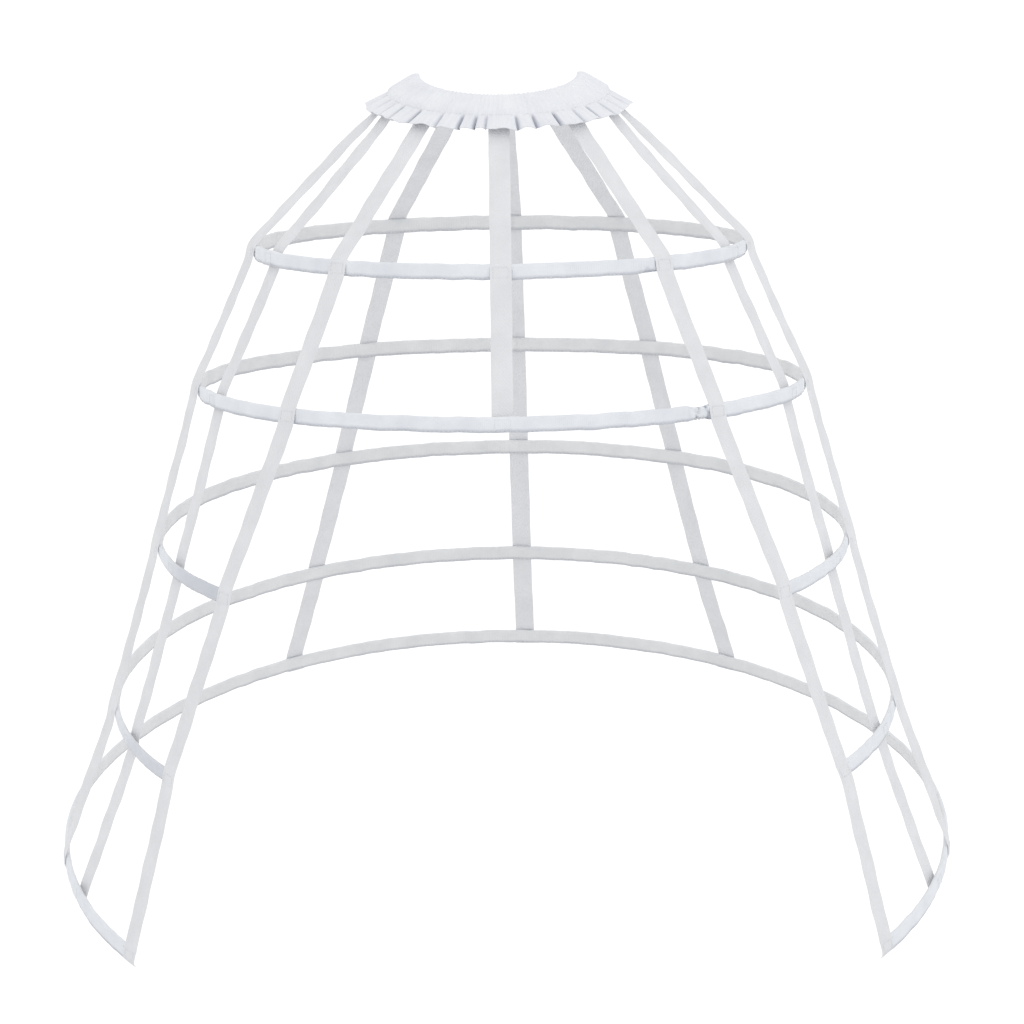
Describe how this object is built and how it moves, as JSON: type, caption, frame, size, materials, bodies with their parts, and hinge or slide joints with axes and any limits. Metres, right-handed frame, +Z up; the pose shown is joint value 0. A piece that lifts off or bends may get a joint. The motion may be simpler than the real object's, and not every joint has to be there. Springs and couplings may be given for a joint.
{
  "type": "cage crinoline",
  "caption": "White cage crinoline, open at the front: a gathered waistband with a frill, vertical tapes, and boned hoops that widen towards the hem.",
  "frame": {"origin": "on the waist's axis, between the waistband's channel and its frill", "axes": "+Z up, the wearer's front towards -Y, +X to the right as seen from the front"},
  "size_m": [0.8908, 0.7861, 0.8376],
  "materials": {
    "gathered_cloth": "soft white cotton, finely gathered",
    "elastic": "woven white elastic",
    "tape": "white twill tape",
    "casing": "white cloth tube over the bone",
    "bone": "white flat boning",
    "sleeve": "clear to white plastic"
  },
  "bodies": {
    "root": {"waistband": "gathered_cloth", "waist_elastic": "elastic", "front_centre_tape": "tape", "front_left_tape": "tape", "front_right_tape": "tape", "side_front_left_tape": "tape", "side_front_right_tape": "tape", "side_back_left_tape": "tape", "side_back_right_tape": "tape", "back_left_tape": "tape", "back_right_tape": "tape", "back_centre_tape": "tape", "hoop_1_casing": "casing", "hoop_2_casing": "casing", "hoop_3_casing": "casing", "hoop_4_casing": "casing", "hoop_5_casing": "casing", "hoop_1_bone": "bone", "hoop_2_bone": "bone", "hoop_3_bone": "bone", "hoop_4_bone": "bone", "hoop_5_bone": "bone", "hoop_1_joiner": "sleeve", "hoop_2_joiner": "sleeve", "hoop_3_bone_tips": "sleeve", "hoop_4_bone_tips": "sleeve", "hoop_5_bone_tips": "sleeve"}
  },
  "joints": []
}
